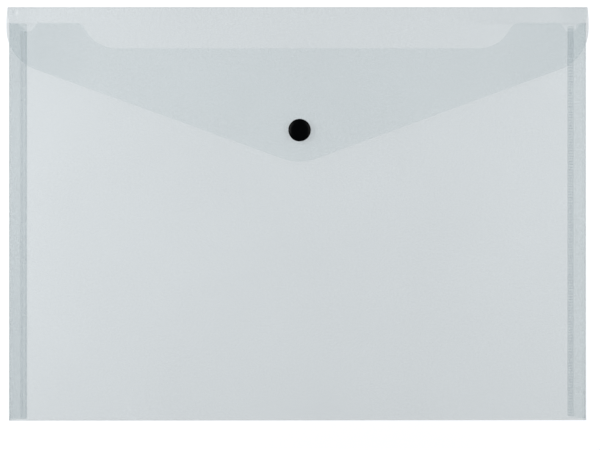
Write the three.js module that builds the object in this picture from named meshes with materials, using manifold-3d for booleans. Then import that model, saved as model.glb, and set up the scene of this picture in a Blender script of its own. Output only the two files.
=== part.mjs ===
// Envelope wallet of translucent film: a pocket with side gussets and a thumb cut-out, a pointed
// flap folded over its front, and a four-piece press stud. It lies on its back, closed and empty.
// Millimetres. +Z is up, away from the table; +Y runs to the flap's crease; +X is to the right.
// The origin is under the middle of the wallet, on the table.

import * as THREE from 'three';
import { mergeVertices } from 'three/addons/utils/BufferGeometryUtils.js';
import Module from 'manifold-3d';

const wasm = await Module();
wasm.setup();

// Film and pocket
const filmThickness = 0.2;
const pocketWidth = 335;
const pocketHeight = 240;
const foldClearance = 0.1;

// Mouth of the pocket: the front's top edge, its thumb cut-out and the notch above each weld
const frontDrop = 9.5;
const thumbShoulder = 42;
const thumbDepth = 14.4;
const thumbSideAngle = 58;
const thumbFloorRadius = 20.5;
const thumbRimRadius = 6;
const notchDepth = 4.7;
const notchRimWidth = 12;
const notchFloorWidth = 4.2;
const notchRadius = 1.2;

// Side tabs, folded inwards from the front and welded to the back along their inner edge
const gussetWidth = 7.2;
const weldWidth = 3.6;
const weldTopMargin = 2.6;
const weldBottomMargin = 1.2;
const weldRibPitch = 1.6;
const weldRibDepth = 0.09;
const tabTopChamfer = 3.4;
const tabTopDrop = 3.2;
const tabBottomRelief = 0.3;
const tabBottomRise = 1.6;
const tabCornerRadius = 1.5;

// Flap. Its tip and the stud sit a little right of the middle, as the flap is cut.
const earOverhang = 1.3;
const earTaper = 7.5;
const earBlendRadius = 7.5;
const earCornerRadius = 0.8;
const flapSideLength = 12.6;
const flapSlope = 20;
const flapCornerRadius = 25;
const flapTipRadius = 28;
const flapTipX = 1.2;
const flapRootLift = 0.3;

// Press stud: two like caps with posts, a male stud on the front and a socket under the flap
const studFromTip = 18.3;
const capDiameter = 13;
const capThickness = 1.3;
const capRimThickness = 0.5;
const domeFullness = 0.35;
const capClearance = 0.3;
const postRadius = 0.7;
const postHoleClearance = 0.1;
const rivetHeadRadius = 1.25;
const rivetHeadThickness = 0.22;
const studNeckRadius = 1.95;
const studBeadOverhang = 0.35;
const studBaseThickness = 0.8;
const studBaseChamfer = 0.4;
const studBeadHeight = 0.7;
const studKnobHeight = 1.05;
const studKnobChamfer = 0.12;
const socketClearance = 0.12;
const socketWall = 1.35;
const socketLipHeight = 0.3;
const socketSkirtTaper = 0.12;
const socketRoofThickness = 0.6;
const socketFlangeThickness = 0.45;
const flangeLedge = 1.3;
const seatMargin = 1;

// Heights above the table, from the back upwards
const backTop = filmThickness;
const tabTop = backTop + filmThickness;
const pocketGap = capThickness + capClearance;
const frontBottom = backTop + pocketGap;
const frontTop = frontBottom + filmThickness;
const flapRootBottom = frontTop + flapRootLift;
const flapRootTop = flapRootBottom + filmThickness;
const studBaseTop = frontTop + studBaseThickness;
const studKnobTop = studBaseTop + studKnobHeight;
const innerHeadTop = studKnobTop - socketClearance;
const outerHeadBottom = studKnobTop + socketClearance;
const socketRoofBottom = outerHeadBottom + rivetHeadThickness;
const flapSeatBottom = socketRoofBottom + socketRoofThickness;
const flapSeatTop = flapSeatBottom + filmThickness;

// Folds
const bottomFoldRadius = frontTop / 2;
const sideFoldRadius = (frontTop - backTop) / 2;
const topFoldRadius = flapRootTop / 2;

// Places in plan
const halfWidth = pocketWidth / 2;
const halfHeight = pocketHeight / 2;
const flapCreaseY = halfHeight - topFoldRadius;
const bottomCreaseY = -halfHeight + bottomFoldRadius;
const frontEdgeX = halfWidth - sideFoldRadius;
const frontTopY = halfHeight - frontDrop;
const tabOuterX = frontEdgeX - foldClearance;
const tabBottomY = bottomCreaseY + tabBottomRelief;
const gussetInnerX = halfWidth - gussetWidth;
const weldInnerX = gussetInnerX - weldWidth;
const earHalfWidth = halfWidth + earOverhang;
const earEndY = flapCreaseY - earTaper;
const slope = THREE.MathUtils.degToRad(flapSlope);
const flapCornerTangent = flapCornerRadius * Math.tan((Math.PI / 2 - slope) / 2);
const flapCornerY = halfHeight - flapSideLength - flapCornerTangent;
const flapApexY = flapCornerY - earHalfWidth * Math.tan(slope);
const flapTipY = flapApexY + flapTipRadius * (1 / Math.cos(slope) - 1);
const studX = flapTipX;
const studY = flapTipY + studFromTip;
const capRadius = capDiameter / 2;
const postHoleRadius = postRadius + postHoleClearance;
const studBeadRadius = studNeckRadius + studBeadOverhang;
const socketCavityRadius = studBeadRadius + socketClearance;
const flangeRadius = socketCavityRadius + socketWall + flangeLedge;
const flapSeatY = studY + capRadius + seatMargin;

// How finely the curved parts are divided, and how far a cutter passes what it cuts
const filletSteps = 8;
const foldSteps = 12;
const flapBendSteps = 14;
const turnSteps = 32;
const domeSteps = 6;
const holeSteps = 16;
const cutMargin = 1;

// Solids

function manifoldFrom(geometry) {
  const bare = geometry.clone();
  bare.deleteAttribute('normal');
  bare.deleteAttribute('uv');
  const merged = mergeVertices(bare, 1e-5);
  return new wasm.Manifold(new wasm.Mesh({
    numProp: 3,
    vertProperties: new Float32Array(merged.attributes.position.array),
    triVerts: new Uint32Array(merged.index.array),
  }));
}

function geometryFrom(manifold) {
  const mesh = manifold.getMesh();
  const geometry = new THREE.BufferGeometry();
  geometry.setAttribute('position', new THREE.BufferAttribute(mesh.vertProperties, 3));
  geometry.setIndex(new THREE.BufferAttribute(mesh.triVerts, 1));
  geometry.computeVertexNormals();
  return geometry;
}

function intersection(...geometries) {
  const solids = geometries.map(manifoldFrom);
  return geometryFrom(solids.reduce((a, b) => a.intersect(b)));
}

function difference(base, ...cutters) {
  const solids = cutters.map(manifoldFrom);
  return geometryFrom(solids.reduce((a, b) => a.subtract(b), manifoldFrom(base)));
}

function extrude(shape, length) {
  return new THREE.ExtrudeGeometry(shape, {
    depth: length,
    bevelEnabled: false,
    curveSegments: filletSteps,
    steps: 1,
  });
}

// An outline in plan, raised from one height to another
function plate(shape, bottom, top) {
  return extrude(shape, top - bottom).translate(0, 0, bottom);
}

// A section in Y and Z, drawn across from one X to another
function sectionAlongX(shape, fromX, toX) {
  const turn = new THREE.Matrix4().makeBasis(
    new THREE.Vector3(0, 1, 0),
    new THREE.Vector3(0, 0, 1),
    new THREE.Vector3(1, 0, 0),
  );
  return extrude(shape, toX - fromX).applyMatrix4(turn).translate(fromX, 0, 0);
}

// A section in X and Z, drawn from one Y down to another
function sectionAlongY(shape, fromY, toY) {
  const turn = new THREE.Matrix4().makeBasis(
    new THREE.Vector3(1, 0, 0),
    new THREE.Vector3(0, 0, 1),
    new THREE.Vector3(0, -1, 0),
  );
  return extrude(shape, toY - fromY).applyMatrix4(turn).translate(0, toY, 0);
}

// A closed outline from its sharp corners [x, y, radius], each rounded by an arc of its radius.
// Where two arcs would share more than the edge between them, both shrink to fit it.
function roundedOutline(corners) {
  const count = corners.length;
  const points = corners.map(([x, y]) => new THREE.Vector2(x, y));
  const tangents = corners.map(([, , radius], i) => {
    const before = points[(i + count - 1) % count].clone().sub(points[i]).normalize();
    const after = points[(i + 1) % count].clone().sub(points[i]).normalize();
    const opening = Math.acos(THREE.MathUtils.clamp(before.dot(after), -1, 1));
    return radius > 0 ? radius / Math.tan(opening / 2) : 0;
  });
  const shrink = tangents.map((tangent, i) => {
    const before = (i + count - 1) % count;
    const after = (i + 1) % count;
    const toBefore = points[i].distanceTo(points[before]) / (tangent + tangents[before] || 1);
    const toAfter = points[i].distanceTo(points[after]) / (tangent + tangents[after] || 1);
    return tangent > 0 ? Math.min(1, toBefore * 0.999, toAfter * 0.999) : 1;
  });
  const shape = new THREE.Shape();
  corners.forEach(([x, y, radius], i) => {
    const corner = points[i];
    if (radius === 0) {
      if (i === 0) shape.moveTo(x, y);
      else shape.lineTo(x, y);
      return;
    }
    const before = points[(i + count - 1) % count].clone().sub(corner).normalize();
    const after = points[(i + 1) % count].clone().sub(corner).normalize();
    const tangent = tangents[i] * shrink[i];
    const r = radius * shrink[i];
    const start = corner.clone().addScaledVector(before, tangent);
    const end = corner.clone().addScaledVector(after, tangent);
    const middle = before.clone().add(after).normalize();
    const centre = corner.clone().addScaledVector(middle, Math.hypot(r, tangent));
    const clockwise = before.cross(after) > 0;
    if (i === 0) shape.moveTo(start.x, start.y);
    else shape.lineTo(start.x, start.y);
    const startAngle = Math.atan2(start.y - centre.y, start.x - centre.x);
    const endAngle = Math.atan2(end.y - centre.y, end.x - centre.x);
    shape.absarc(centre.x, centre.y, r, startAngle, endAngle, clockwise);
  });
  shape.closePath();
  return shape;
}

// The same outline on the left, from corners given on the right
function mirrored(corners) {
  return corners.map(([x, y, radius]) => [-x, y, radius]).reverse();
}

function rectangle(lowX, lowY, highX, highY) {
  return roundedOutline([[lowX, lowY, 0], [highX, lowY, 0], [highX, highY, 0], [lowX, highY, 0]]);
}

// Film bent round half a circle: the section of a fold, its open side towards -X or +X
function foldSection(centreX, centreY, outerRadius, opensLeft) {
  const shape = new THREE.Shape();
  const side = opensLeft ? 1 : -1;
  const at = (radius, step) => {
    const angle = Math.PI * (step / foldSteps - 0.5);
    return [centreX + side * radius * Math.cos(angle), centreY + radius * Math.sin(angle)];
  };
  const innerRadius = outerRadius - filmThickness;
  shape.moveTo(...at(outerRadius, 0));
  for (let step = 1; step <= foldSteps; step += 1) shape.lineTo(...at(outerRadius, step));
  for (let step = foldSteps; step >= 0; step -= 1) shape.lineTo(...at(innerRadius, step));
  shape.closePath();
  return shape;
}

// The film's panels and folds

function backPanel() {
  const right = [
    [halfWidth, bottomCreaseY, 0],
    [halfWidth, earEndY, earBlendRadius],
    [earHalfWidth, flapCreaseY, 0],
  ];
  return plate(roundedOutline([...right, ...mirrored(right)]), 0, backTop);
}

function frontPanel() {
  const bottomY = bottomCreaseY + foldClearance;
  const thumbRimX = halfWidth - thumbShoulder;
  const thumbFloorX = thumbRimX - thumbDepth / Math.tan(THREE.MathUtils.degToRad(thumbSideAngle));
  const notchX = weldInnerX;
  const right = [
    [frontEdgeX, bottomY, 0],
    [frontEdgeX, frontTopY, 0],
    [notchX + notchRimWidth / 2, frontTopY, notchRadius],
    [notchX + notchFloorWidth / 2, frontTopY - notchDepth, notchRadius],
    [notchX - notchFloorWidth / 2, frontTopY - notchDepth, notchRadius],
    [notchX - notchRimWidth / 2, frontTopY, notchRadius],
    [thumbRimX, frontTopY, thumbRimRadius],
    [thumbFloorX, frontTopY - thumbDepth, thumbFloorRadius],
  ];
  const outline = roundedOutline([...right, ...mirrored(right)]);
  return difference(
    plate(outline, frontBottom, frontTop),
    postHole(frontBottom, frontTop),
  );
}

// Underside of the flap's film: close over the front at its crease, smoothly up to its seat on
// the stud, and level from there to the tip
function flapUnderside(y) {
  const run = (flapCreaseY - y) / (flapCreaseY - flapSeatY);
  const rise = THREE.MathUtils.smoothstep(run, 0, 1);
  return THREE.MathUtils.lerp(flapRootBottom, flapSeatBottom, rise);
}

function flapPanel() {
  const stations = [];
  for (let step = 0; step <= flapBendSteps; step += 1) {
    stations.push(THREE.MathUtils.lerp(flapCreaseY, flapSeatY, step / flapBendSteps));
  }
  stations.push(flapApexY);
  const under = stations.map((y) => new THREE.Vector2(y, flapUnderside(y)));
  const over = under.map(({ x, y }) => new THREE.Vector2(x, y + filmThickness)).reverse();
  const outline = roundedOutline([
    [earHalfWidth, flapCreaseY + cutMargin, 0],
    [-earHalfWidth, flapCreaseY + cutMargin, 0],
    [-earHalfWidth, flapCornerY, flapCornerRadius],
    [flapTipX, flapApexY, flapTipRadius],
    [earHalfWidth, flapCornerY, flapCornerRadius],
  ]);
  const curvedSheet = sectionAlongX(
    new THREE.Shape([...under, ...over]),
    -earHalfWidth - cutMargin,
    earHalfWidth + cutMargin,
  );
  return difference(
    intersection(curvedSheet, plate(outline, 0, flapSeatTop + cutMargin)),
    postHole(flapSeatBottom, flapSeatTop),
  );
}

function postHole(bottom, top) {
  const length = top - bottom + 2 * cutMargin;
  return new THREE.CylinderGeometry(postHoleRadius, postHoleRadius, length, holeSteps)
    .rotateX(Math.PI / 2)
    .translate(studX, studY, (bottom + top) / 2);
}

function topFold() {
  const section = foldSection(flapCreaseY, topFoldRadius, topFoldRadius, true);
  const outline = roundedOutline([
    [earHalfWidth, flapCreaseY - cutMargin, 0],
    [earHalfWidth, halfHeight, earCornerRadius],
    [-earHalfWidth, halfHeight, earCornerRadius],
    [-earHalfWidth, flapCreaseY - cutMargin, 0],
  ]);
  return intersection(
    sectionAlongX(section, -earHalfWidth, earHalfWidth),
    plate(outline, -cutMargin, flapRootTop + cutMargin),
  );
}

function bottomFold() {
  const section = foldSection(bottomCreaseY, bottomFoldRadius, bottomFoldRadius, false);
  return sectionAlongX(section, -halfWidth, halfWidth);
}

function sideFold(side) {
  const centreZ = backTop + sideFoldRadius;
  const section = foldSection(side * frontEdgeX, centreZ, sideFoldRadius, side > 0);
  return sectionAlongY(section, tabBottomY, frontTopY);
}

// Outline of a whole side tab, from its fold to the inner edge of its weld
function tabOutline(side) {
  const right = [
    [weldInnerX, tabBottomY + tabBottomRise, tabCornerRadius],
    [tabOuterX, tabBottomY, 0],
    [tabOuterX, frontTopY, 0],
    [weldInnerX + tabTopChamfer, frontTopY, tabCornerRadius],
    [weldInnerX, frontTopY - tabTopDrop, tabCornerRadius],
  ];
  return roundedOutline(side > 0 ? right : mirrored(right));
}

// The free part of a side tab, between its fold and its weld
function sideTab(side) {
  const edges = [side * gussetInnerX, side * tabOuterX].sort((a, b) => a - b);
  const strip = rectangle(edges[0], tabBottomY, edges[1], frontTopY);
  return intersection(
    plate(tabOutline(side), backTop, tabTop),
    plate(strip, backTop - cutMargin, tabTop + cutMargin),
  );
}

// The tab's inner edge, fused to the back, with cross ribs pressed in by the sealing bar
function weldSeam(side) {
  const topY = frontTopY - weldTopMargin;
  const bottomY = tabBottomY + tabBottomRise + weldBottomMargin;
  const ribs = Math.floor((topY - bottomY) / weldRibPitch);
  const section = new THREE.Shape();
  section.moveTo(tabBottomY, backTop);
  section.lineTo(frontTopY, backTop);
  section.lineTo(frontTopY, tabTop);
  for (let rib = 0; rib < ribs; rib += 1) {
    const y = topY - rib * weldRibPitch;
    section.lineTo(y, tabTop);
    section.lineTo(y - weldRibPitch / 2, tabTop - weldRibDepth);
  }
  section.lineTo(topY - ribs * weldRibPitch, tabTop);
  section.lineTo(tabBottomY, tabTop);
  section.closePath();
  const fromX = side > 0 ? weldInnerX : -gussetInnerX;
  return intersection(
    sectionAlongX(section, fromX, fromX + weldWidth),
    plate(tabOutline(side), backTop - cutMargin, tabTop + cutMargin),
  );
}

// Press stud pieces, turned about the stud's axis. A profile is a run of [radius, height],
// anticlockwise about the section, which starts and ends on the axis or closes on itself.

function turned(profile) {
  const points = profile.map(([radius, height]) => new THREE.Vector2(radius, height));
  if (points[0].x > 0) points.push(points[0].clone());
  return new THREE.LatheGeometry(points, turnSteps)
    .rotateX(Math.PI / 2)
    .translate(studX, studY, 0);
}

// A domed cap, flat against the film at seatZ, and its post, which passes through the film and
// ends in a flattened head at headZ. direction is 1 where the dome is above the film, else -1.
function cap(seatZ, direction, headZ) {
  const rimZ = seatZ + direction * capRimThickness;
  const domeRise = direction * (capThickness - capRimThickness);
  const dome = [];
  for (let step = 1; step < domeSteps; step += 1) {
    const angle = (Math.PI / 2) * (step / domeSteps);
    dome.push([capRadius * Math.cos(angle) ** domeFullness, rimZ + domeRise * Math.sin(angle)]);
  }
  const headTopZ = headZ + direction * rivetHeadThickness;
  const profile = [
    [0, headZ],
    [rivetHeadRadius, headZ],
    [rivetHeadRadius, headTopZ],
    [postRadius, headTopZ],
    [postRadius, seatZ],
    [capRadius, seatZ],
    [capRadius, rimZ],
    ...dome,
    [0, rimZ + domeRise],
  ];
  return turned(direction > 0 ? profile : profile.reverse());
}

// The male stud: a base, and a knob whose bead is wider than its neck. Its top is sunk for the
// head of the inner cap's post.
function maleStud() {
  const headSeatZ = innerHeadTop - rivetHeadThickness;
  const sinkRadius = rivetHeadRadius + postHoleClearance;
  return turned([
    [postHoleRadius, frontTop],
    [flangeRadius, frontTop],
    [flangeRadius, studBaseTop - studBaseChamfer],
    [flangeRadius - studBaseChamfer, studBaseTop],
    [studNeckRadius, studBaseTop],
    [studNeckRadius, studBaseTop + socketLipHeight],
    [studBeadRadius, studBaseTop + studBeadHeight],
    [studBeadRadius, studKnobTop - studKnobChamfer],
    [studBeadRadius - studKnobChamfer, studKnobTop],
    [sinkRadius, studKnobTop],
    [sinkRadius, headSeatZ],
    [postHoleRadius, headSeatZ],
  ]);
}

// The socket: a flange against the flap, a roof that the outer cap's head holds, and a skirt
// whose lip snaps under the stud's bead
function studSocket() {
  const skirtRadius = socketCavityRadius + socketWall;
  const lipRadius = studNeckRadius + socketClearance;
  const lipTop = studBaseTop + socketLipHeight;
  const flangeBottom = flapSeatBottom - socketFlangeThickness;
  return turned([
    [lipRadius, studBaseTop + socketClearance],
    [skirtRadius - socketSkirtTaper, studBaseTop + socketClearance],
    [skirtRadius, flangeBottom],
    [flangeRadius, flangeBottom],
    [flangeRadius, flapSeatBottom],
    [postHoleRadius, flapSeatBottom],
    [postHoleRadius, socketRoofBottom],
    [socketCavityRadius, socketRoofBottom],
    [socketCavityRadius, lipTop + socketClearance],
    [lipRadius, lipTop],
  ]);
}

// Assembly

const film = { color: 0xc9d4d6, roughness: 0.38, metalness: 0 };
const foldedFilm = { color: 0xbcc8ca, roughness: 0.42, metalness: 0 };
const weldedFilm = { color: 0xaebabc, roughness: 0.55, metalness: 0 };
const studPlastic = { color: 0x0b0b0c, roughness: 0.35, metalness: 0 };

function piece(name, geometry, material) {
  const mesh = new THREE.Mesh(geometry, new THREE.MeshStandardMaterial(material));
  mesh.name = name;
  return mesh;
}

const pocket = new THREE.Group();
pocket.add(piece('back_panel', backPanel(), film));
pocket.add(piece('bottom_fold', bottomFold(), foldedFilm));
pocket.add(piece('top_fold', topFold(), foldedFilm));
for (const [name, side] of [['left', -1], ['right', 1]]) {
  pocket.add(piece(`${name}_side_tab`, sideTab(side), film));
  pocket.add(piece(`${name}_weld_seam`, weldSeam(side), weldedFilm));
}

const front = new THREE.Group();
front.add(piece('front_panel', frontPanel(), film));
for (const [name, side] of [['left', -1], ['right', 1]]) {
  front.add(piece(`${name}_side_fold`, sideFold(side), foldedFilm));
}
front.add(piece('stud_male', maleStud(), studPlastic));
front.add(piece('stud_inner_cap', cap(frontBottom, -1, innerHeadTop), studPlastic));

const flap = new THREE.Group();
flap.add(piece('flap_panel', flapPanel(), film));
flap.add(piece('stud_socket', studSocket(), studPlastic));
flap.add(piece('stud_outer_cap', cap(flapSeatTop, 1, outerHeadBottom), studPlastic));

const wallet = new THREE.Group();
wallet.add(pocket, front, flap);

export default wallet;
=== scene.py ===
"""Envelope wallet of translucent film, lying closed on a pale table and seen from straight above.

The film is made of thin closed shells: one sheet for the back, the top crease and the flap, one
for the front with its side folds, a bottom crease, two gussets and two ribbed welds. The press
stud is four turned pieces. Measures are millimetres in the CAD frame and become metres when a
Haze is what the film's milky body gains at a place, as a share of full cover. Along the
creases and folds it is partly painted shade; on the left tab it is painted shade, and at a
dent in the flap it paints a shade and a glint.
"""

import math
from collections import namedtuple

import bpy
import numpy as np
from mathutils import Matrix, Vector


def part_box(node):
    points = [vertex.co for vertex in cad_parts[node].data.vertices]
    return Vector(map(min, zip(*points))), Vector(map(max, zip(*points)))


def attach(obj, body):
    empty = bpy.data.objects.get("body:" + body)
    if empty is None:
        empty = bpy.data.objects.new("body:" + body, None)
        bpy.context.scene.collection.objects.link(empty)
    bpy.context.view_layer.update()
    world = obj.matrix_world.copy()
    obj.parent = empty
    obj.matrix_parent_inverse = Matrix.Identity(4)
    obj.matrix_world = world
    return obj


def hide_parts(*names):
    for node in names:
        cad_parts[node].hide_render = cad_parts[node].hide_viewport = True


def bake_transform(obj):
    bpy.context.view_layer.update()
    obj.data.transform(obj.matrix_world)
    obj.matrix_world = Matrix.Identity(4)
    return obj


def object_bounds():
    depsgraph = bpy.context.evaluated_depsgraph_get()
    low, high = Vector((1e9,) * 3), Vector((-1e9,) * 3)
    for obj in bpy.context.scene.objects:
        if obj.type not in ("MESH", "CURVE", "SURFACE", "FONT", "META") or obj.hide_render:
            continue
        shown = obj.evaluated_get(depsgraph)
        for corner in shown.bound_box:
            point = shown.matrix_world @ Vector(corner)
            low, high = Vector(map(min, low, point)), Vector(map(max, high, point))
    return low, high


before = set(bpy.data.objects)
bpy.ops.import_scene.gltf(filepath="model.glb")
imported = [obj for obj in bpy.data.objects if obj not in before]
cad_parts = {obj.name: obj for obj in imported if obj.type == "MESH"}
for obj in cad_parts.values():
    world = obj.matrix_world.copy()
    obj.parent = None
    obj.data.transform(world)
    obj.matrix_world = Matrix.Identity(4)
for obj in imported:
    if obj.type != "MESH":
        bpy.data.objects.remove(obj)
cad_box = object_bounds()

MM = 0.001


def in_millimetres(box):
    """The lowest and highest corner of a box of the frame, in millimetres to two decimals."""
    return [[round(value / MM, 2) for value in corner] for corner in box]


# From the frame: the highest corner of the wallet, the outside of its right fold, and the cap
EAR_REACH, HALF_HEIGHT, CAP_TOP = in_millimetres(cad_box)[1]
FOLD_REACH = in_millimetres(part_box("right_side_fold"))[1][0]
CAP_LOW, CAP_HIGH = in_millimetres(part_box("stud_outer_cap"))

# Film and pocket. A fold's radius is to the outside of its film, and the side inset is how far
# each side fold stays inside its solid
FILM = 0.2
LAYER_GAP = 0.01
POCKET_HEIGHT = 1.6
SIDE_INSET = 0.1
BOTTOM_SLANT = 0.35
HALF_WIDTH = FOLD_REACH - SIDE_INSET
FRONT_UNDER = FILM + POCKET_HEIGHT
FRONT_TOP = FRONT_UNDER + FILM
FRONT_Z = FRONT_TOP - FILM / 2
TAB_Z = FILM + FILM / 2
SIDE_RADIUS = (FRONT_TOP - FILM) / 2
SIDE_CENTRE_Z = FILM + SIDE_RADIUS
FRONT_EDGE_X = HALF_WIDTH - SIDE_RADIUS
BOTTOM_RADIUS = FRONT_TOP / 2
BOTTOM_CREASE_Y = BOTTOM_RADIUS - HALF_HEIGHT
FRONT_BOTTOM_Y = BOTTOM_CREASE_Y + FILM / 2

# Die-cut top edge of the front
FRONT_TOP_Y = 110.8
THUMB_DEPTH = 14.7
THUMB_RIM_X = 125.5
THUMB_FLOOR_X = 116.5
THUMB_FLOOR_Y = FRONT_TOP_Y - THUMB_DEPTH
THUMB_RIM_RADIUS = 6.0
THUMB_FLOOR_RADIUS = 20.5
NOTCH_DEPTH = 5.0
NOTCH_FLOOR_Y = FRONT_TOP_Y - NOTCH_DEPTH
NOTCH_RADIUS = 1.2

# Each side's tab and notch. A notch is the x of its inner rim, inner floor, outer floor and
# outer rim, a weld is the x of its inner and outer edge, and a tab's ends are runs of (x, y)
Side = namedtuple("Side", "name sign notch weld tab_top tab_bottom rib_top_y gusset_haze")
LEFT = Side(
    name="left",
    sign=-1,
    notch=(150.7, 154.6, 157.1, 162.6),
    weld=(157.0, 161.2),
    tab_top=((157.0, 109.7), (157.6, 110.4), (FRONT_EDGE_X, 110.4)),
    tab_bottom=((157.0, -118.1), (157.3, -118.6), (158.0, -118.9), (FRONT_EDGE_X, -118.9)),
    rib_top_y=106.3,
    # Painted shade: the left tab's film is made hazier, so darker, as where less light falls
    gusset_haze=0.018,
)
RIGHT = Side(
    name="right",
    sign=1,
    notch=(152.2, 156.0, 160.9, 164.0),
    weld=(156.7, 160.3),
    tab_top=(
        (156.7, 108.4), (157.5, 109.2), (160.3, 109.2), (160.5, 107.2), (161.5, 107.2),
        (162.3, 110.4), (FRONT_EDGE_X, 110.4),
    ),
    tab_bottom=((156.7, -117.1), (157.3, -117.6), (163.0, -118.6), (FRONT_EDGE_X, -118.9)),
    rib_top_y=107.9,
    gusset_haze=0.0,
)

# Print of the sealing bar in each weld: its ribs, and a groove at each edge [place, half width]
RIB_PITCH = 1.6
RIB_DEPTH = 0.09
PRINT_FOOT = 0.2
PRINT_FADE = 0.5
GROOVE_DEPTH = 0.05
INNER_GROOVE = (0.6, 0.6)
OUTER_GROOVE = (1.2, 0.7)
OUTER_GROOVE_SHARE = 0.7

# Haze of the left print, and of the right one with how far each change reaches
LEFT_PRINT_HAZE = 0.038
LEFT_GROOVE_HAZE = 0.055
LEFT_CREST_HAZE = -0.008
RIGHT_PRINT_HAZE = 0.05
RIGHT_MIDDLE_HAZE = 0.03
RIGHT_MIDDLE_REACH = 1.8
RIGHT_END_HAZE = 0.02
RIGHT_END_REACH = 25.0
RIGHT_RIB_HAZE = 0.045
RIGHT_RIB_FADE = 10.0

# Haze of the front: the strips over the tabs, a line along each fold and a spot at each foot.
# Each fold's line is partly pressed film and partly painted shade where the film turns edge-on.
# A line is its distance from the side and its half width, a spot its place and half its size
LEFT_STRIP_HAZE = 0.038
LEFT_STRIP_FOOT_HAZE = 0.018
RIGHT_STRIP_HAZE = 0.013
STRIP_FADE = 0.5
FOLD_SHADE_LINE = (0.75, 0.4)
LEFT_FOLD_HAZE_AND_SHADE = 0.006
RIGHT_FOLD_HAZE_AND_SHADE = 0.028
RIGHT_FOLD_FOOT_HAZE_AND_SHADE = 0.03
RIGHT_FOLD_FOOT_REACH = 25.0
LEFT_BAND = (2.0, 1.2)
LEFT_BAND_HAZE = 0.026
FOOT_SPOT = ((0.5, 0.0), (0.8, 0.9))
FOOT_SPOT_HAZE = 0.05
BOTTOM_CORNER_HAZE = 0.07
BOTTOM_CORNER_REACH = 1.2

# Top crease and flap
FLAP_ROOT_LIFT = 0.3
TOP_RADIUS = (FRONT_TOP + FLAP_ROOT_LIFT + FILM) / 2
CREASE_Y = HALF_HEIGHT - TOP_RADIUS
FLAP_ROOT_Z = 2 * TOP_RADIUS - FILM / 2
EAR_HALF_WIDTH = EAR_REACH - LAYER_GAP
EAR_END_Y = 111.6
EAR_FULL_Y = 116.0
EAR_BLEND_Y = 0.7
EAR_CORNER_RADIUS = 0.8
EAR_SPLAY = 0.5
EAR_SPLAY_LENGTH = 8.0
FLAP_CORNER_Y = 89.9
FLAP_CORNER_RADIUS = 25.0
FLAP_APEX_Y = 28.46
FLAP_TIP_RADIUS = 28.0

# Haze of the back and the flap. A ramp is where it starts and how long it is
CREASE_HAZE_AND_SHADE = 0.012
CREASE_HAZE_AND_SHADE_REACH = 0.55
FLAP_SIDE_HAZE = 0.036
FLAP_SIDE_RAMP = (118.0, 32.0)
EAR_HAZE = 0.015
EAR_RAMP = (148.0, 12.0)
RIGHT_EAR_HAZE = 0.01
RIGHT_EAR_RAMP = (90.0, 30.0)
ABOVE_FRONT_RAMP = (109.3, 1.5)

# A small dent in the flap's left ear, painted only: a hazy spot of painted shade and a clear
# spot of painted glint, spots as above
DENT_PAINTED_SHADE = ((-164.7, 117.0), (0.95, 1.8))
DENT_SHADE_HAZE = 0.07
DENT_PAINTED_GLINT = ((-162.9, 116.6), (0.8, 1.4))
DENT_GLINT_HAZE = -0.038
DENT_MARGIN = 2.0

# Press stud: its axis, and what both caps share
STUD_X = (CAP_LOW[0] + CAP_HIGH[0]) / 2
STUD_Y = (CAP_LOW[1] + CAP_HIGH[1]) / 2
CAP_RADIUS = 6.5
CAP_RIM = 0.5
CAP_THICKNESS = 1.3
CAP_BEVEL = 0.15
DOME_FULLNESS = 0.35
POST_RADIUS = 0.7
HOLE_CLEARANCE = 0.1
HOLE_RADIUS = POST_RADIUS + HOLE_CLEARANCE
HEAD_RADIUS = 1.25
HEAD_THICKNESS = 0.22

# Press stud: heights of its pieces, and of the flap that is seated between cap and socket
BASE_THICKNESS = 0.8
KNOB_HEIGHT = 1.05
SOCKET_CLEARANCE = 0.12
SEAT_MARGIN = 1.0
BASE_TOP = FRONT_TOP + BASE_THICKNESS
KNOB_TOP = BASE_TOP + KNOB_HEIGHT
INNER_HEAD_TOP = KNOB_TOP - SOCKET_CLEARANCE
OUTER_HEAD_BOTTOM = KNOB_TOP + SOCKET_CLEARANCE
FLAP_TOP = CAP_TOP - CAP_THICKNESS
FLAP_UNDER = FLAP_TOP - FILM
FLAP_SEAT_Z = FLAP_TOP - FILM / 2
FLAP_SEAT_Y = STUD_Y + CAP_RADIUS + SEAT_MARGIN

# Press stud: radii of the male stud and the socket
NECK_RADIUS = 1.95
BEAD_OVERHANG = 0.35
BEAD_RADIUS = NECK_RADIUS + BEAD_OVERHANG
SINK_RADIUS = HEAD_RADIUS + HOLE_CLEARANCE
LIP_RADIUS = NECK_RADIUS + SOCKET_CLEARANCE
SOCKET_BORE_RADIUS = BEAD_RADIUS + SOCKET_CLEARANCE
SOCKET_WALL = 1.35
SKIRT_TAPER = 0.12
SKIRT_RADIUS = SOCKET_BORE_RADIUS + SOCKET_WALL - SKIRT_TAPER
FLANGE_LEDGE = 1.3
FLANGE_RADIUS = SOCKET_BORE_RADIUS + SOCKET_WALL + FLANGE_LEDGE

# How finely the surfaces are divided
COLUMN_PITCH = 4.0
SMALLEST_COLUMN = 0.05
DENT_COLUMNS = 16
BACK_ROWS = 36
BACK_ROWS_TOP_Y = 100.0
EAR_ROWS = 14
EAR_ROWS_Y = (102.0, 118.35)
FLAP_ROWS = 45
FRONT_ROWS = 70
BOTTOM_COLUMNS = 84
BOTTOM_CORNER_COLUMNS = (0.4, 0.8, 1.4, 2.2)
GUSSET_COLUMNS = 16
GUSSET_ROWS = 60
WELD_COLUMNS = 19
WELD_ROWS = 1121
ARC_STEPS = 14
FOLD_STEPS = 24
FOLD_POWER = 1.8
STUD_TURN_STEPS = 96
DOME_STEPS = 24
FILM_SHARP_ANGLE = 40
STUD_SHARP_ANGLE = 35

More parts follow.
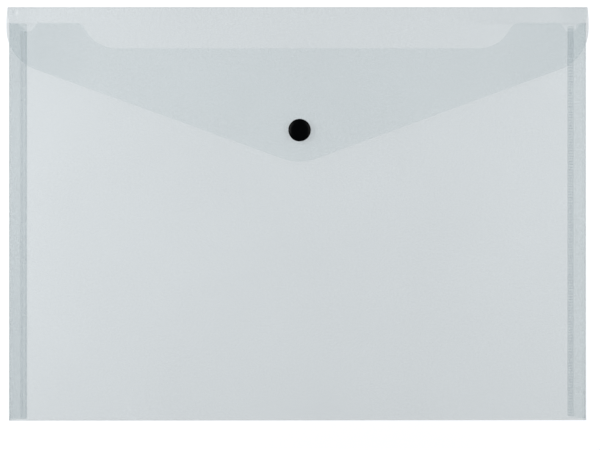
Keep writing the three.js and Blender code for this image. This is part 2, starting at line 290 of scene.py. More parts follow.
# Film's finish: patterns in repeats a metre, and what each adds
FILM_COLOUR = (0.29, 0.37, 0.41)
FILM_SOLIDITY = 0.036
WELD_SOLIDITY = 0.04
CLEAR_TINT = (0.994, 1.0, 1.0)
GRAIN_SCALE = 1100.0
GRAIN_SHARE = 0.032
GRAIN_RELIEF = 0.02
CLOUD_SCALE = 18.0
CLOUD_SHARE = 0.006
CLOUD_SHADE = 0.8
GLOSS_ROUGHNESS = 0.24
GRAIN_ROUGHNESS = 0.12
FACING_GLOSS = 0.008
GLANCING_GLOSS = 0.6
GLANCING_POWER = 4.0

# Stud's finish
STUD_DARK = (0.0003, 0.0005, 0.0008)
STUD_WORN = (0.0008, 0.0012, 0.0017)
STUD_BLOTCH_SCALE = 320.0
STUD_FINE_SCALE = 2600.0
STUD_ROUGHNESS = 0.2
STUD_FINE_ROUGHNESS = 0.1

# Table and sky
TABLE_GREY = (0.2, 0.2, 0.2)
GLOW_TINT = (0.979, 1.002, 1.032)
COVERED_GLOW = 0.574
BARE_GLOW = 0.285
# The glow's slope and curve paint a pool of light on the table, seen through the film
PAINTED_POOL_SLOPE = 0.12
PAINTED_POOL_CURVE = 1.5
PAINTED_POOL_REACH = 0.2
SKY_SIDE = 0.42
SKY_TOP = 0.03
SKY_FADE = (0.35, 0.95)
MIRRORED_SKY_GAIN = 1.4

# Photograph
PHOTO_WIDTH = 600
MM_PER_PIXEL = 0.58
LENS = 200.0
SENSOR_WIDTH = 36.0
CAMERA_X = 1.45
CAMERA_Y = -6.43
SUBJECT_Z = 2.0


# Numbers that vary over a surface


def ramp(value, start, length):
    """Nothing up to the start, then growing evenly to one over the length."""
    return np.clip((value - start) / length, 0, 1)


def hill(distance, width):
    """One at no distance, falling to nothing over the width: exp(-(distance / width)^2)."""
    return np.exp(-((distance / width) ** 2))


def spot(x, y, place, size):
    """One at a place, falling to nothing round it: a hill across times a hill along."""
    return hill(x - place[0], size[0]) * hill(y - place[1], size[1])


# Curves and meshes


def rounded_line(corners):
    """Points along an open line through its corners, each corner rounded by an arc.

    At a corner the arc of radius r touches both edges at r / tan(half the angle between them),
    and its centre lies on the line that halves that angle.
    """
    corners = np.array(corners, float)
    pieces = [corners[:1, :2]]
    for before, corner, after in zip(corners[:-2], corners[1:-1], corners[2:]):
        to_before = (before[:2] - corner[:2]) / np.linalg.norm(before[:2] - corner[:2])
        to_after = (after[:2] - corner[:2]) / np.linalg.norm(after[:2] - corner[:2])
        half = math.acos(np.clip(to_before @ to_after, -1, 1)) / 2
        reach = corner[2] / math.tan(half)
        middle = (to_before + to_after) / np.linalg.norm(to_before + to_after)
        centre = corner[:2] + middle * math.hypot(corner[2], reach)
        start = corner[:2] + to_before * reach - centre
        end = corner[:2] + to_after * reach - centre
        share = np.linspace(0, 1, ARC_STEPS + 1)[:, None]
        turn = math.pi - 2 * half
        arc = (start * np.sin((1 - share) * turn) + end * np.sin(share * turn)) / math.sin(turn)
        pieces.append(centre + arc)
    pieces.append(corners[-1:, :2])
    return np.vstack(pieces)


def with_even_columns(xs, low, high):
    """The given x places and enough even ones between low and high that no gap is wide."""
    even = np.linspace(low, high, int((high - low) / COLUMN_PITCH) + 1)
    xs = np.concatenate([xs[(xs > low) & (xs < high)], even])
    xs = np.unique(np.round(xs, 4))
    keep = np.concatenate([[True], np.diff(xs) > SMALLEST_COLUMN])
    keep[-1] = True
    return xs[keep]


def half_fold(radius):
    """A pinched half circle from below to above: |out|^p + |up|^p = radius^p."""
    angle = np.linspace(-math.pi / 2, math.pi / 2, FOLD_STEPS + 1)
    power = 2 / FOLD_POWER
    out = radius * np.cos(angle).clip(0) ** power
    up = radius * np.sign(np.sin(angle)) * np.abs(np.sin(angle)) ** power
    return out, up


def surface_normals(grid):
    """Unit normals of a grid of points: the cross product of its two directions."""
    across = np.gradient(grid, axis=1)
    along = np.gradient(grid, axis=0)
    normal = np.cross(across, along)
    return normal / np.linalg.norm(normal, axis=2, keepdims=True)


def mesh_object(name, points, faces, material, sharp_angle):
    """A mesh piece from points in millimetres, smooth except at its sharp edges."""
    mesh = bpy.data.meshes.new(name)
    mesh.from_pydata((points * MM).tolist(), [], faces)
    mesh.update()
    mesh.shade_smooth()
    mesh.set_sharp_from_angle(angle=math.radians(sharp_angle))
    mesh.materials.append(material)
    piece = bpy.data.objects.new(name, mesh)
    bpy.context.scene.collection.objects.link(piece)
    return piece


def grid_shell(name, upper, lower, material, haze):
    """A closed shell between two grids of points, the upper one on the side the grid faces.

    Both grids give quads between neighbouring rows and columns, and a strip of quads joins them
    all round their border. The haze at each point of the grid is kept on the mesh for its
    material.
    """
    rows, columns = upper.shape[:2]
    index = np.arange(rows * columns).reshape(rows, columns)
    quads = np.stack([index[:-1, :-1], index[:-1, 1:], index[1:, 1:], index[1:, :-1]], axis=-1)
    quads = quads.reshape(-1, 4)
    border = np.concatenate([
        index[0, :-1], index[:-1, -1], index[-1, :0:-1], index[:0:-1, 0],
    ])
    following = np.roll(border, -1)
    count = rows * columns
    strip = np.stack([border, border + count, following + count, following], axis=-1)
    faces = np.vstack([quads, quads[:, ::-1] + count, strip])
    points = np.vstack([upper.reshape(-1, 3), lower.reshape(-1, 3)])
    piece = mesh_object(name, points, faces.tolist(), material, FILM_SHARP_ANGLE)
    attribute = piece.data.attributes.new("haze", "FLOAT", "POINT")
    attribute.data.foreach_set("value", np.tile(haze.ravel(), 2).astype(np.float32))
    return piece


def film_shell(name, middle, material, haze, thickness=FILM):
    """A shell of even thickness about a grid of points, half on each side of it."""
    offset = surface_normals(middle) * (thickness / 2)
    return grid_shell(name, middle + offset, middle - offset, material, haze)


def turned_piece(name, profile, material):
    """A solid turned about the stud's axis.

    A profile is a run of [radius, height] with its solid on the left. One that starts and ends
    on the axis is closed there by fans of triangles, and any other closes on itself.
    """
    profile = np.array(profile, float)
    solid_core = profile[0, 0] == 0
    ring_profile = profile[1:-1] if solid_core else profile
    angle = np.linspace(0, 2 * math.pi, STUD_TURN_STEPS, endpoint=False)
    circle = np.stack([np.cos(angle), np.sin(angle)], axis=-1)
    rings = np.empty((len(ring_profile), STUD_TURN_STEPS, 3))
    rings[..., :2] = ring_profile[:, None, :1] * circle[None] + (STUD_X, STUD_Y)
    rings[..., 2] = ring_profile[:, None, 1]
    index = np.arange(rings[..., 0].size).reshape(rings.shape[:2])
    if not solid_core:
        index = np.vstack([index, index[:1]])
    turned = np.roll(index, -1, axis=1)
    quads = np.stack([index[:-1], turned[:-1], turned[1:], index[1:]], axis=-1).reshape(-1, 4)
    faces = quads.tolist()
    points = rings.reshape(-1, 3)
    if solid_core:
        first, last = len(points), len(points) + 1
        poles = [[STUD_X, STUD_Y, profile[0, 1]], [STUD_X, STUD_Y, profile[-1, 1]]]
        points = np.vstack([points, poles])
        faces += [[first, b, a] for a, b in zip(index[0], turned[0])]
        faces += [[last, a, b] for a, b in zip(index[-1], turned[-1])]
    return mesh_object(name, points, faces, material, STUD_SHARP_ANGLE)


# Materials


def new_material(name):
    """An empty node material: itself, its node tree and its output."""
    material = bpy.data.materials.new(name)
    material.use_nodes = True
    tree = material.node_tree
    tree.nodes.clear()
    return material, tree, tree.nodes.new("ShaderNodeOutputMaterial")


def add_node(tree, kind, **settings):
    """A node with its properties and plain input values set by name."""
    node = tree.nodes.new(kind)
    for key, value in settings.items():
        if hasattr(node, key):
            setattr(node, key, value)
        else:
            node.inputs[key.replace("_", " ")].default_value = value
    return node


def maths(tree, operation, *values):
    """One Math node on values or sockets."""
    node = add_node(tree, "ShaderNodeMath", operation=operation)
    for socket, value in zip(node.inputs, values):
        if isinstance(value, (int, float)):
            socket.default_value = value
        else:
            tree.links.new(value, socket)
    return node.outputs[0]


def noise(tree, place, scale, detail):
    """A noise pattern on object coordinates, its scale in repeats a metre."""
    node = add_node(tree, "ShaderNodeTexNoise", Scale=scale, Detail=detail)
    tree.links.new(place, node.inputs["Vector"])
    return node.outputs["Fac"]


def mixed_colour(tree, factor, first, second):
    """A colour between two others."""
    node = add_node(tree, "ShaderNodeMix", data_type="RGBA")
    node.inputs["A"].default_value = (*first, 1)
    node.inputs["B"].default_value = (*second, 1)
    tree.links.new(factor, node.inputs["Factor"])
    return node.outputs["Result"]


def bumped(tree, height, **settings):
    """A normal bent by a height."""
    node = add_node(tree, "ShaderNodeBump", **settings)
    tree.links.new(height, node.inputs["Height"])
    return node.outputs["Normal"]


def mixed_shader(tree, factor, first, second):
    """A shader between two others."""
    node = add_node(tree, "ShaderNodeMixShader")
    tree.links.new(factor, node.inputs["Fac"])
    tree.links.new(first.outputs[0], node.inputs[1])
    tree.links.new(second.outputs[0], node.inputs[2])
    return node


def film_material(name, solidity):
    """Translucent film: mostly see-through, with a thin milky body and a satin gloss.

    The body's share is its solidity and the mesh's haze, varied by the film's fine grain and by
    soft clouds. The gloss grows towards a glancing view as facing^4.
    """
    material, tree, output = new_material(name)
    place = add_node(tree, "ShaderNodeTexCoord").outputs["Object"]
    grain = noise(tree, place, GRAIN_SCALE, detail=0.0)
    cloud = noise(tree, place, CLOUD_SCALE, detail=1.0)
    haze = add_node(tree, "ShaderNodeAttribute", attribute_name="haze").outputs["Fac"]
    share = maths(tree, "MULTIPLY_ADD", grain, GRAIN_SHARE, solidity - GRAIN_SHARE / 2)
    share = maths(tree, "MULTIPLY_ADD", cloud, CLOUD_SHARE, share)
    share = maths(tree, "ADD", share, haze)
    relief = maths(tree, "MULTIPLY_ADD", grain, GRAIN_RELIEF, cloud)
    normal = bumped(tree, relief, Strength=0.6, Distance=0.0004)

    body = add_node(tree, "ShaderNodeBsdfPrincipled", Roughness=0.5, Specular_IOR_Level=0.0)
    shaded = [CLOUD_SHADE * channel for channel in FILM_COLOUR]
    tone = mixed_colour(tree, cloud, FILM_COLOUR, shaded)
    tree.links.new(tone, body.inputs["Base Color"])
    tree.links.new(normal, body.inputs["Normal"])
    clear = add_node(tree, "ShaderNodeBsdfTransparent", Color=(*CLEAR_TINT, 1))
    inside = mixed_shader(tree, share, clear, body)

    gloss = add_node(tree, "ShaderNodeBsdfGlossy")
    roughness = maths(tree, "MULTIPLY_ADD", grain, GRAIN_ROUGHNESS, GLOSS_ROUGHNESS)
    tree.links.new(roughness, gloss.inputs["Roughness"])
    tree.links.new(normal, gloss.inputs["Normal"])
    facing = add_node(tree, "ShaderNodeLayerWeight", Blend=0.5).outputs["Facing"]
    glancing = maths(tree, "POWER", facing, GLANCING_POWER)
    shine = maths(tree, "MULTIPLY_ADD", glancing, GLANCING_GLOSS, FACING_GLOSS)
    surface = mixed_shader(tree, shine, inside, gloss)
    tree.links.new(surface.outputs[0], output.inputs["Surface"])
    return material


def stud_material():
    """Moulded black plastic: near black, satin, with a fine moulding texture."""
    material, tree, output = new_material("stud_plastic")
    place = add_node(tree, "ShaderNodeTexCoord").outputs["Object"]
    fine = noise(tree, place, STUD_FINE_SCALE, detail=3.0)
    blotch = noise(tree, place, STUD_BLOTCH_SCALE, detail=2.0)
    body = add_node(tree, "ShaderNodeBsdfPrincipled", Specular_IOR_Level=0.04)
    tone = mixed_colour(tree, blotch, STUD_DARK, STUD_WORN)
    tree.links.new(tone, body.inputs["Base Color"])
    roughness = maths(tree, "MULTIPLY_ADD", fine, STUD_FINE_ROUGHNESS, STUD_ROUGHNESS)
    tree.links.new(roughness, body.inputs["Roughness"])
    normal = bumped(tree, fine, Strength=0.25, Distance=0.00003)
    tree.links.new(normal, body.inputs["Normal"])
    tree.links.new(body.outputs[0], output.inputs["Surface"])
    return material


film = film_material("film", FILM_SOLIDITY)
weld = film_material("weld_film", WELD_SOLIDITY)
stud_plastic = stud_material()


# The film's outlines


FLAP_EDGE = rounded_line([
    [-EAR_HALF_WIDTH, CREASE_Y, 0],
    [-EAR_HALF_WIDTH, FLAP_CORNER_Y, FLAP_CORNER_RADIUS],
    [STUD_X, FLAP_APEX_Y, FLAP_TIP_RADIUS],
    [EAR_HALF_WIDTH, FLAP_CORNER_Y, FLAP_CORNER_RADIUS],
    [EAR_HALF_WIDTH, CREASE_Y, 0],
])[1:-1]


def half_front_edge(side):
    """Sharp corners [x, y, radius] of the die-cut edge from the thumb cut-out to one side."""
    inner_rim, inner_floor, outer_floor, outer_rim = side.notch
    corners = [
        [THUMB_FLOOR_X, THUMB_FLOOR_Y, THUMB_FLOOR_RADIUS],
        [THUMB_RIM_X, FRONT_TOP_Y, THUMB_RIM_RADIUS],
        [inner_rim, FRONT_TOP_Y, NOTCH_RADIUS],
        [inner_floor, NOTCH_FLOOR_Y, NOTCH_RADIUS],
        [outer_floor, NOTCH_FLOOR_Y, NOTCH_RADIUS],
        [outer_rim, FRONT_TOP_Y, NOTCH_RADIUS],
        [FRONT_EDGE_X, FRONT_TOP_Y, 0],
    ]
    return [[side.sign * x, y, radius] for x, y, radius in corners]


FRONT_EDGE = rounded_line(half_front_edge(LEFT)[::-1] + half_front_edge(RIGHT))


def sheet_half_width(y):
    """Half the back's width at y: even up to the ears, then wider in a straight line, with the
    corner where they start smoothed over a short stretch and the crease's corners rounded."""
    crease_half_width = EAR_HALF_WIDTH - EAR_SPLAY
    slope = (crease_half_width - HALF_WIDTH) / (EAR_FULL_Y - EAR_END_Y)
    past = y - EAR_END_Y
    smooth = (past + np.sqrt(past**2 + EAR_BLEND_Y**2)) / 2
    width = np.minimum(HALF_WIDTH + slope * smooth, crease_half_width)
    round_y = CREASE_Y + TOP_RADIUS - EAR_CORNER_RADIUS
    over = np.clip(y - round_y, 0, EAR_CORNER_RADIUS)
    return width - EAR_CORNER_RADIUS + np.sqrt(EAR_CORNER_RADIUS**2 - over**2)


def bottom_share(y):
    """Nothing at mid height and above, growing evenly to one at the bottom crease."""
    return np.clip(y / BOTTOM_CREASE_Y, 0, 1)


def bottom_lift(x, y):
    """How far the bottom edge is lifted to slant up to the right, fading out at mid height."""
    return BOTTOM_SLANT * (x + HALF_WIDTH) / (2 * HALF_WIDTH) * bottom_share(y)


def flap_height(y):
    """Height of the flap's film: up from its crease to its seat on the stud in a smooth step,
    run^2 * (3 - 2 * run)."""
    run = np.clip((CREASE_Y - y) / (CREASE_Y - FLAP_SEAT_Y), 0, 1)
    return FLAP_ROOT_Z + (FLAP_SEAT_Z - FLAP_ROOT_Z) * run * run * (3 - 2 * run)


# The film's pieces


def back_and_flap():
    """The back, the top crease and the flap in one sheet.

    Columns run across at a share u of the half width. Rows climb the back, turn round the crease
    on its pinched half circle, and come down the flap to its edge, each at an even share v.
    """
    dent_left, dent_right = DENT_PAINTED_SHADE[0][0] - DENT_MARGIN, DENT_PAINTED_GLINT[0][0] + DENT_MARGIN
    dent_columns = np.linspace(dent_left, dent_right, DENT_COLUMNS)
    xs = np.concatenate([FLAP_EDGE[:, 0], dent_columns])
    xs = with_even_columns(xs, -EAR_HALF_WIDTH, EAR_HALF_WIDTH)
    share = xs / EAR_HALF_WIDTH
    back_y = np.concatenate([
        np.linspace(BOTTOM_CREASE_Y + LAYER_GAP, BACK_ROWS_TOP_Y, BACK_ROWS),
        np.linspace(*EAR_ROWS_Y, EAR_ROWS),
    ])
    out, up = half_fold(TOP_RADIUS - FILM / 2)
    path_y = np.concatenate([back_y, CREASE_Y + out])
    path_z = np.concatenate([np.full(len(back_y), FILM / 2), TOP_RADIUS + up])
    rows = np.empty((len(path_y), len(xs), 3))
    rows[..., 0] = share[None] * sheet_half_width(path_y)[:, None]
    rows[..., 1] = path_y[:, None]
    rows[..., 2] = path_z[:, None]
    edge = np.interp(xs, FLAP_EDGE[:, 0], FLAP_EDGE[:, 1])
    fall = np.linspace(0, 1, FLAP_ROWS + 1)[1:, None]
    flap = np.empty((len(fall), len(xs), 3))
    flap[..., 1] = CREASE_Y + fall * (edge[None] - CREASE_Y)
    splay = np.clip((CREASE_Y - flap[..., 1]) / EAR_SPLAY_LENGTH, 0, 1)
    flap[..., 0] = share[None] * (EAR_HALF_WIDTH - EAR_SPLAY * (1 - splay) ** 2)
    flap[..., 2] = flap_height(flap[..., 1])
    sheet = np.concatenate([rows, flap])
    x, y = sheet[..., 0], sheet[..., 1]
    is_flap = np.arange(len(sheet))[:, None] >= len(rows)
    ears = EAR_HAZE * ramp(np.abs(x), *EAR_RAMP) + RIGHT_EAR_HAZE * ramp(x, *RIGHT_EAR_RAMP)
    # Along the top crease: milkier pressed film, and painted shade where the film turns edge-on
    haze = CREASE_HAZE_AND_SHADE * hill(CREASE_Y + TOP_RADIUS - y, CREASE_HAZE_AND_SHADE_REACH)
    haze += FLAP_SIDE_HAZE * is_flap * ramp(np.abs(x), *FLAP_SIDE_RAMP) * (y < FRONT_TOP_Y)
    haze += ears * ramp(y, *ABOVE_FRONT_RAMP)
    # A dent's painted shade and painted glint: a hazier and a clearer spot in the film
    haze += DENT_SHADE_HAZE * is_flap * spot(x, y, *DENT_PAINTED_SHADE)
    haze += DENT_GLINT_HAZE * spot(x, y, *DENT_PAINTED_GLINT)
    sheet[..., 1] += bottom_lift(x, y) * ~is_flap
    return film_shell("back_and_flap", sheet, film, haze)


def front_sheet():
    """The front and both side folds in one sheet.

    Its section runs from under the left fold, over the front and round the right fold. Each
    column rises from the bottom crease to the die-cut edge at its own x.
    """
    out, up = half_fold(SIDE_RADIUS - FILM / 2)
    inner = with_even_columns(FRONT_EDGE[:, 0], -FRONT_EDGE_X, FRONT_EDGE_X)[1:-1]
    xs = np.concatenate([-FRONT_EDGE_X - out, inner, FRONT_EDGE_X + out[::-1]])
    zs = np.concatenate([
        SIDE_CENTRE_Z + up, np.full(len(inner), FRONT_Z), SIDE_CENTRE_Z + up[::-1],
    ])
    top = np.interp(xs, FRONT_EDGE[:, 0], FRONT_EDGE[:, 1])
    rise = np.linspace(0, 1, FRONT_ROWS)[:, None]
    sheet = np.empty((len(rise), len(xs), 3))
    sheet[..., 0] = xs[None]
    sheet[..., 1] = FRONT_BOTTOM_Y + rise * (top[None] - FRONT_BOTTOM_Y)
    sheet[..., 2] = zs[None]
    x, y = sheet[..., 0], sheet[..., 1]
    from_side = HALF_WIDTH - np.abs(x)
    above_bottom = y - FRONT_BOTTOM_Y
    right_line = RIGHT_FOLD_HAZE_AND_SHADE + RIGHT_FOLD_FOOT_HAZE_AND_SHADE * hill(above_bottom, RIGHT_FOLD_FOOT_REACH)
    line = np.where(x > 0, right_line, LEFT_FOLD_HAZE_AND_SHADE)
    left_strip = LEFT_STRIP_HAZE + LEFT_STRIP_FOOT_HAZE * bottom_share(y)
    # Along each fold: pressed film and painted shade where the film turns edge-on
    haze = line * hill(from_side - FOLD_SHADE_LINE[0], FOLD_SHADE_LINE[1])
    haze += LEFT_BAND_HAZE * hill(x + HALF_WIDTH - LEFT_BAND[0], LEFT_BAND[1])
    haze += FOOT_SPOT_HAZE * spot(from_side, above_bottom, *FOOT_SPOT)
    haze += left_strip * ramp(-x, LEFT.weld[0], STRIP_FADE)
    haze += RIGHT_STRIP_HAZE * ramp(x, RIGHT.weld[0], STRIP_FADE)
    sheet[..., 1] += bottom_lift(x, y)
    return film_shell("front_sheet", sheet, film, haze)


def bottom_crease():
    """The bottom crease: a pinched half circle carried along x."""
    out, up = half_fold(BOTTOM_RADIUS - FILM / 2)
    corner_columns = HALF_WIDTH - np.array(BOTTOM_CORNER_COLUMNS)
    xs = np.linspace(-HALF_WIDTH, HALF_WIDTH, BOTTOM_COLUMNS)
    xs = np.sort(np.concatenate([xs, -corner_columns, corner_columns]))
    sheet = np.empty((len(out), len(xs), 3))
    sheet[..., 0] = xs[None]
    sheet[..., 1] = BOTTOM_CREASE_Y - out[::-1, None]
    sheet[..., 2] = BOTTOM_RADIUS + up[::-1, None]
    haze = BOTTOM_CORNER_HAZE * hill(HALF_WIDTH - np.abs(sheet[..., 0]), BOTTOM_CORNER_REACH)
    sheet[..., 1] += bottom_lift(sheet[..., 0], sheet[..., 1])
    return film_shell("bottom_crease", sheet, film, haze)


def tab_grid(side, low_x, high_x, columns, rows):
    """A grid over the side tab between two x places, from its bottom edge to its top edge."""
    across = np.linspace(low_x, high_x, columns)
    bottom = np.interp(across, *np.transpose(side.tab_bottom))
    top = np.interp(across, *np.transpose(side.tab_top))
    rise = np.linspace(0, 1, rows)[:, None]
    grid = np.empty((rows, columns, 3))
    grid[..., 0] = across[None]
    grid[..., 1] = bottom[None] + rise * (top - bottom)[None]
    grid[..., 2] = TAB_Z
    if side.sign < 0:
        grid = grid[:, ::-1] * (-1, 1, 1)
    grid[..., 1] += bottom_lift(grid[..., 0], grid[..., 1])
    return grid


def gusset(side):
    """The free part of a side tab, from its weld to its fold: a flat strip of film."""
    grid = tab_grid(side, side.weld[1], FRONT_EDGE_X, GUSSET_COLUMNS, GUSSET_ROWS)
    # The left gusset's haze is painted shade
    haze = np.full(grid.shape[:2], side.gusset_haze)
    return film_shell(f"{side.name}_gusset", grid, film, haze, thickness=FILM - 2 * LAYER_GAP)


def weld_seam(side):
    """The welded part of a side tab, with the print of the sealing bar in its upper face.

    Ribs run across it, RIB_DEPTH * (1 - cos(turns along y)) / 2 deep, and end in a shallow
    groove at each edge of the bar. The left print is hazy along its grooves. The right one is
    hazy all over, and clearer on the crests between its ribs.
    """
    inner, outer = side.weld
    grid = tab_grid(side, inner, outer, WELD_COLUMNS, WELD_ROWS)
    across, y = np.abs(grid[..., 0]), grid[..., 1]
    below_top = side.rib_top_y - y
    pressed = ramp(below_top, 0, PRINT_FADE) * ramp(y, y.min() + PRINT_FOOT, PRINT_FADE)
    crests = pressed * (1 + np.cos(2 * math.pi * below_top / RIB_PITCH)) / 2
    grooves = pressed * np.maximum(
        hill(across - inner - INNER_GROOVE[0], INNER_GROOVE[1]),
        OUTER_GROOVE_SHARE * hill(outer - across - OUTER_GROOVE[0], OUTER_GROOVE[1]),
    )
    depth = RIB_DEPTH * (pressed - crests) * (1 - grooves) + GROOVE_DEPTH * grooves
    upper = grid + (0, 0, FILM / 2 - LAYER_GAP)
    upper[..., 2] -= depth
    lower = grid - (0, 0, FILM / 2 - LAYER_GAP)
    if side is LEFT:
        haze = LEFT_PRINT_HAZE * pressed + LEFT_GROOVE_HAZE * grooves + LEFT_CREST_HAZE * crests
    else:
        middle = hill(across - (inner + outer) / 2, RIGHT_MIDDLE_REACH)
        haze = pressed * (RIGHT_PRINT_HAZE + RIGHT_MIDDLE_HAZE * middle)
        haze += RIGHT_END_HAZE * pressed * hill(below_top, RIGHT_END_REACH)
        haze += RIGHT_RIB_HAZE * ramp(below_top, 0, RIGHT_RIB_FADE) * (pressed / 2 - crests)
    # The left weld also takes the left tab's painted shade
    return grid_shell(f"{side.name}_weld", upper, lower, weld, side.gusset_haze + haze)


def punch(piece, under, top):
    """Cuts the hole for the stud's post through a sheet of film between two heights."""
    low, high = under - FILM / 2, top + FILM / 2
    profile = [[0, low], [HOLE_RADIUS, low], [HOLE_RADIUS, high], [0, high]]
    cutter = turned_piece("cutter", profile, film)
    cut = piece.modifiers.new("post_hole", "BOOLEAN")
    cut.solver = "EXACT"
    cut.object = cutter
    cut_piece = piece.evaluated_get(bpy.context.evaluated_depsgraph_get())
    punched = bpy.data.meshes.new_from_object(cut_piece)
    piece.modifiers.clear()
    piece.data = punched
    punched.set_sharp_from_angle(angle=math.radians(FILM_SHARP_ANGLE))
    bpy.data.objects.remove(cutter)


# Press stud


def cap_profile(seat, up, head):
    """A cap's profile: its rivet head, its post, a flat underside with a rounded edge, and a
    dome on which the radius falls as cos(a)^fullness while the height rises as sin(a)."""
    rise = np.radians(np.linspace(0, 90, DOME_STEPS + 1))[1:-1]
    dome = np.stack([
        (CAP_RADIUS - 0.02) * np.cos(rise) ** DOME_FULLNESS,
        seat + up * (CAP_RIM + (CAP_THICKNESS - CAP_RIM) * np.sin(rise)),
    ], axis=-1)
    profile = [
        [0, head],
        [HEAD_RADIUS - 0.08, head],
        [HEAD_RADIUS, head + up * 0.07],
        [HEAD_RADIUS, head + up * HEAD_THICKNESS],
        [POST_RADIUS, head + up * HEAD_THICKNESS],
        [POST_RADIUS, seat + up * LAYER_GAP],
        [CAP_RADIUS - CAP_BEVEL, seat + up * LAYER_GAP],
        [CAP_RADIUS - CAP_BEVEL / 4, seat + up * CAP_BEVEL / 2],
        [CAP_RADIUS, seat + up * CAP_BEVEL],
        [CAP_RADIUS, seat + up * CAP_RIM],
        *dome.tolist(),
        [0, seat + up * CAP_THICKNESS],
    ]
    return profile if up > 0 else profile[::-1]


def male_stud_profile():
    """The male stud's profile: a base with a sloping shoulder, a neck, and a knob whose bead is
    wider than the neck, sunk at its top for the rivet head. Small steps round its edges."""
    return [
        [HOLE_RADIUS, FRONT_TOP + LAYER_GAP],
        [FLANGE_RADIUS - 0.08, FRONT_TOP + LAYER_GAP],
        [FLANGE_RADIUS, FRONT_TOP + 0.09],
        [FLANGE_RADIUS, BASE_TOP - 0.42],
        [FLANGE_RADIUS - 0.05, BASE_TOP - 0.34],
        [FLANGE_RADIUS - 0.35, BASE_TOP - 0.04],
        [FLANGE_RADIUS - 0.47, BASE_TOP],
        [NECK_RADIUS + 0.1, BASE_TOP],
        [NECK_RADIUS + 0.02, BASE_TOP + 0.03],
        [NECK_RADIUS, BASE_TOP + 0.1],
        [NECK_RADIUS, BASE_TOP + 0.3],
        [BEAD_RADIUS - 0.05, BASE_TOP + 0.64],
        [BEAD_RADIUS, BASE_TOP + 0.72],
        [BEAD_RADIUS, KNOB_TOP - 0.14],
        [BEAD_RADIUS - 0.03, KNOB_TOP - 0.05],
        [BEAD_RADIUS - 0.13, KNOB_TOP],
        [SINK_RADIUS, KNOB_TOP],
        [SINK_RADIUS, INNER_HEAD_TOP - HEAD_THICKNESS],
        [HOLE_RADIUS, INNER_HEAD_TOP - HEAD_THICKNESS],
    ]


def socket_profile():
    """The socket's profile: a flange against the flap, a roof for the outer cap's head, and a
    skirt whose lip snaps under the bead. Small steps round its edges."""
    return [
        [LIP_RADIUS, BASE_TOP + 0.14],
        [LIP_RADIUS + 0.05, BASE_TOP + 0.12],
        [SKIRT_RADIUS - 0.07, BASE_TOP + 0.12],
        [SKIRT_RADIUS, BASE_TOP + 0.16],
        [SKIRT_RADIUS + SKIRT_TAPER, FLAP_UNDER - 0.52],
        [SKIRT_RADIUS + 0.19, FLAP_UNDER - 0.45],
        [FLANGE_RADIUS - 0.06, FLAP_UNDER - 0.45],
        [FLANGE_RADIUS, FLAP_UNDER - 0.39],
        [FLANGE_RADIUS, FLAP_UNDER - LAYER_GAP],
        [HOLE_RADIUS, FLAP_UNDER - LAYER_GAP],
        [HOLE_RADIUS, FLAP_UNDER - 0.6],
        [SOCKET_BORE_RADIUS, FLAP_UNDER - 0.6],
        [SOCKET_BORE_RADIUS, BASE_TOP + 0.44],
        [LIP_RADIUS, BASE_TOP + 0.3],
    ]


# The wallet, put together

sheet = back_and_flap()
punch(sheet, FLAP_UNDER, FLAP_TOP)
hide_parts("back_panel", "top_fold", "flap_panel")
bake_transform(sheet)

front = front_sheet()
punch(front, FRONT_UNDER, FRONT_TOP)
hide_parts("front_panel", "left_side_fold", "right_side_fold")
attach(front, "front")

crease = bottom_crease()
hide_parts("bottom_fold")
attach(crease, "pocket")

for side in (LEFT, RIGHT):
    strip = gusset(side)
    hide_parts(f"{side.name}_side_tab")
    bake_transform(strip)
    seam = weld_seam(side)
    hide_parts(f"{side.name}_weld_seam")
    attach(seam, "pocket")

stud_pieces = (
    ("outer_cap", cap_profile(FLAP_TOP, 1, OUTER_HEAD_BOTTOM), "stud_outer_cap", "flap"),
    ("socket", socket_profile(), "stud_socket", "flap"),
    ("male_stud", male_stud_profile(), "stud_male", "front"),
    ("inner_cap", cap_profile(FRONT_UNDER, -1, INNER_HEAD_TOP), "stud_inner_cap", "front"),
)
for name, profile, node, body in stud_pieces:
    piece = turned_piece(name, profile, stud_plastic)
    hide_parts(node)
    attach(piece, body)


# Table, light and camera


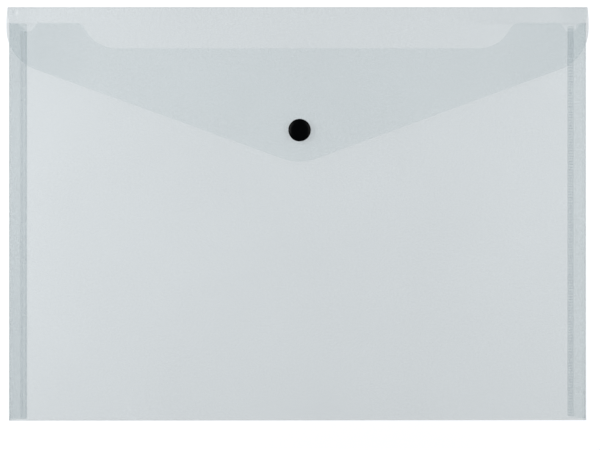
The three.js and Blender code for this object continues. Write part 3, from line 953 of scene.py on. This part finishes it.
def table():
    """A pale table that keeps shadows.

    The camera and gloss see it glow: as white where nothing lies on it, and less through the
    film. Within its reach the glow is (x^2 - y^2) * curve + (y - x) * slope brighter than in
    the middle, as the film in the photograph is: a painted pool of light seen through the film.
    """
    material, tree, output = new_material("table")
    path = add_node(tree, "ShaderNodeLightPath").outputs
    place = add_node(tree, "ShaderNodeTexCoord").outputs["Object"]
    for operation, limit in (("MAXIMUM", -PAINTED_POOL_REACH), ("MINIMUM", PAINTED_POOL_REACH)):
        near = add_node(tree, "ShaderNodeVectorMath", operation=operation)
        tree.links.new(place, near.inputs[0])
        near.inputs[1].default_value = (limit, limit, limit)
        place = near.outputs[0]
    split = add_node(tree, "ShaderNodeSeparateXYZ")
    tree.links.new(place, split.inputs[0])
    bare = maths(tree, "LESS_THAN", path["Transparent Depth"], 0.5)
    glow = maths(tree, "MULTIPLY_ADD", bare, BARE_GLOW, COVERED_GLOW)
    # Painted pool of light: the glow grows away from the middle by its slope and curve
    for axis, sign in (("X", 1), ("Y", -1)):
        along = split.outputs[axis]
        squared = maths(tree, "MULTIPLY", along, along)
        glow = maths(tree, "MULTIPLY_ADD", along, -sign * PAINTED_POOL_SLOPE, glow)
        glow = maths(tree, "MULTIPLY_ADD", squared, sign * PAINTED_POOL_CURVE, glow)
    seen = maths(tree, "MAXIMUM", path["Is Camera Ray"], path["Is Glossy Ray"])
    seen = maths(tree, "MAXIMUM", seen, path["Is Transmission Ray"])

    paper = add_node(tree, "ShaderNodeBsdfDiffuse", Color=(*TABLE_GREY, 1))
    lift = add_node(tree, "ShaderNodeEmission", Color=(*GLOW_TINT, 1))
    tree.links.new(maths(tree, "MULTIPLY", seen, glow), lift.inputs["Strength"])
    both = add_node(tree, "ShaderNodeAddShader")
    tree.links.new(paper.outputs[0], both.inputs[0])
    tree.links.new(lift.outputs[0], both.inputs[1])
    tree.links.new(both.outputs[0], output.inputs["Surface"])
    bpy.ops.mesh.primitive_plane_add(size=8, location=(0, 0, -0.1 * MM))
    top = bpy.context.object
    top.name = "table"
    top.data.materials.append(material)


def soft_box(name, place, size, power):
    """A square soft light that faces the wallet."""
    lamp = bpy.data.lights.new(name, "AREA")
    lamp.shape = "SQUARE"
    lamp.size = size
    lamp.energy = power
    box = bpy.data.objects.new(name, lamp)
    bpy.context.scene.collection.objects.link(box)
    box.location = place
    box.rotation_mode = "QUATERNION"
    box.rotation_quaternion = (-box.location).to_track_quat("-Z", "Y")


def studio():
    """Even light from all round the horizon, darker overhead, and a soft box at each side.

    The camera sees the sky as white. Gloss reflects it as white near the horizon too.
    """
    world = bpy.data.worlds.new("studio")
    bpy.context.scene.world = world
    world.use_nodes = True
    tree = world.node_tree
    tree.nodes.clear()
    output = add_node(tree, "ShaderNodeOutputWorld")
    split = add_node(tree, "ShaderNodeSeparateXYZ")
    tree.links.new(add_node(tree, "ShaderNodeTexCoord").outputs["Generated"], split.inputs[0])
    glow = add_node(
        tree, "ShaderNodeMapRange", interpolation_type="SMOOTHSTEP",
        From_Min=SKY_FADE[0], From_Max=SKY_FADE[1], To_Min=SKY_SIDE, To_Max=SKY_TOP,
    )
    tree.links.new(maths(tree, "ABSOLUTE", split.outputs["Z"]), glow.inputs["Value"])
    path = add_node(tree, "ShaderNodeLightPath").outputs
    mirrored = maths(tree, "MAXIMUM", path["Is Glossy Ray"], path["Is Transmission Ray"])
    mirrored = maths(tree, "MULTIPLY_ADD", mirrored, MIRRORED_SKY_GAIN, 1.0)
    strength = maths(tree, "MULTIPLY", glow.outputs["Result"], mirrored)
    strength = maths(tree, "MAXIMUM", strength, path["Is Camera Ray"])
    sky = add_node(tree, "ShaderNodeBackground", Color=(1, 1, 1, 1))
    tree.links.new(strength, sky.inputs["Strength"])
    tree.links.new(sky.outputs[0], output.inputs["Surface"])
    soft_box("left_soft_box", place=(-0.95, 0.3, 1.55), size=0.9, power=21.5)
    soft_box("right_soft_box", place=(0.95, 0.25, 1.55), size=0.9, power=14)


def photo_camera():
    """A long lens straight above, as high as makes a pixel of the photograph its size in mm."""
    data = bpy.data.cameras.new("camera")
    data.sensor_width = SENSOR_WIDTH
    data.lens = LENS
    distance = PHOTO_WIDTH * MM_PER_PIXEL * LENS / SENSOR_WIDTH
    camera = bpy.data.objects.new("camera", data)
    bpy.context.scene.collection.objects.link(camera)
    camera.location = (CAMERA_X * MM, CAMERA_Y * MM, (SUBJECT_Z + distance) * MM)
    bpy.context.scene.camera = camera


table()
studio()
photo_camera()
bpy.context.scene.view_settings.view_transform = "Standard"
bpy.context.scene.cycles.transparent_max_bounces = 48
